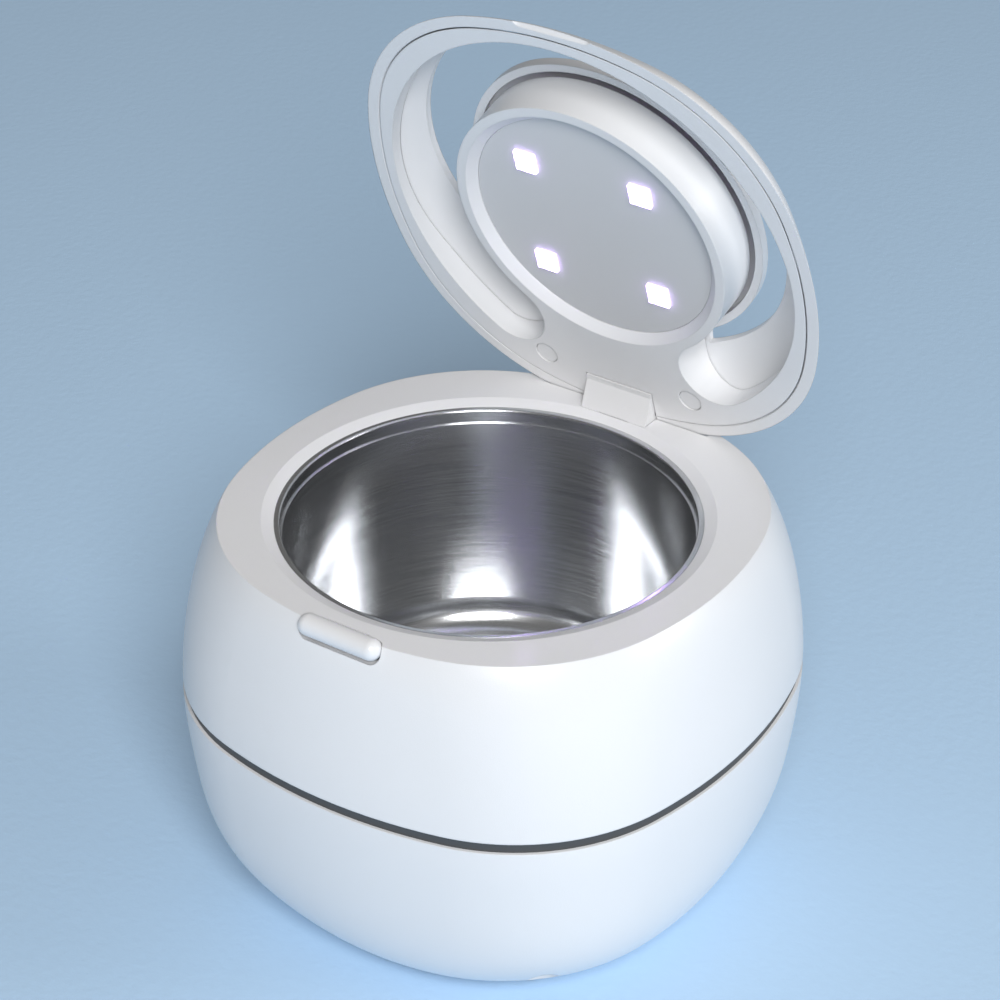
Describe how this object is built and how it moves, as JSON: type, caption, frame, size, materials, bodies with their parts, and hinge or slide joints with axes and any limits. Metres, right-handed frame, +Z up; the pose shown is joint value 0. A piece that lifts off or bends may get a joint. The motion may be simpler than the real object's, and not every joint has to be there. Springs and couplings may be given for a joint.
{
  "type": "ultrasonic cleaner",
  "caption": "Rounded white ultrasonic cleaner with a round stainless wash tank, a hinged lid carrying a round lamp housing in a crescent finger opening, and a pill-shaped front button.",
  "frame": {"origin": "centre of the footprint, on the surface it stands on", "axes": "+X to the right seen from the front, +Y towards the hinge at the back, +Z up"},
  "size_m": [0.1218, 0.1218, 0.1879],
  "materials": {
    "white_shell": "satin white moulded shell",
    "accent_grey": "dark grey satin band",
    "lamp_grey": "light grey satin plate",
    "stainless": "polished drawn stainless",
    "zinc_steel": "zinc-plated steel",
    "screw_steel": "plated screw",
    "soft_rubber": "matte",
    "piezo": "silvered ceramic",
    "adhesive": "cured epoxy",
    "circuit_green": "solder mask",
    "circuit_white": "white solder mask",
    "component_black": "moulded package",
    "copper_winding": "varnished copper wire",
    "sink_aluminium": "extruded",
    "connector_white": "nylon",
    "contact_brass": "plated",
    "lead_insulation": "insulation",
    "lens_clear": "clear lens",
    "uv_diode": "lit violet diode"
  },
  "bodies": {
    "housing": {"upper_shell": "white_shell", "lower_shell": "white_shell", "accent_band": "accent_grey", "wash_tank": "stainless", "tank_rim_ring": "stainless", "tank_clamp_ring": "zinc_steel", "hinge_bracket": "zinc_steel", "friction_washers": "zinc_steel", "inlet_nut": "zinc_steel", "housing_screws": "screw_steel", "tank_clamp_screws": "screw_steel", "board_screws": "screw_steel", "button_board_screws": "screw_steel", "hinge_screws": "screw_steel", "rubber_foot_front_left": "soft_rubber", "rubber_foot_front_right": "soft_rubber", "rubber_foot_back_left": "soft_rubber", "rubber_foot_back_right": "soft_rubber", "tank_gasket": "soft_rubber", "piezo_disc": "piezo", "transducer_adhesive": "adhesive", "main_board": "circuit_green", "button_board": "circuit_green", "board_chips": "component_black", "driver_transistor": "component_black", "button_switch": "component_black", "power_inlet": "component_black", "board_capacitors": "component_black", "drive_transformer": "copper_winding", "output_choke": "copper_winding", "driver_heat_sink": "sink_aluminium", "lead_plugs": "connector_white", "switch_plunger": "connector_white", "inlet_contact": "contact_brass", "transducer_leads": "lead_insulation", "inlet_leads": "lead_insulation"},
    "lid": {"lid_outer_shell": "white_shell", "lid_inner_cover": "white_shell", "hinge_arm": "white_shell", "screw_plug_left": "white_shell", "screw_plug_right": "white_shell", "lamp_plate": "lamp_grey", "hinge_pin": "zinc_steel", "hinge_arm_screws": "screw_steel", "lid_screws": "screw_steel", "uv_board": "circuit_white", "uv_board_screws": "screw_steel", "uv_lenses": "lens_clear", "uv_diodes": "uv_diode"},
    "button": {"power_button": "white_shell"}
  },
  "joints": [
    {"name": "lid_hinge", "type": "hinge", "parent": "housing", "child": "lid", "pos_m": [0, 0.0496, 0.09044], "axis": [1, 0, 0], "range_deg": [0, 72.35]},
    {"name": "button_press", "type": "slide", "parent": "housing", "child": "button", "axis": [0, 0, -1], "range_m": [0, 0.0008], "stiffness_N_per_m": 1500, "springref_m": -0.0004}
  ]
}
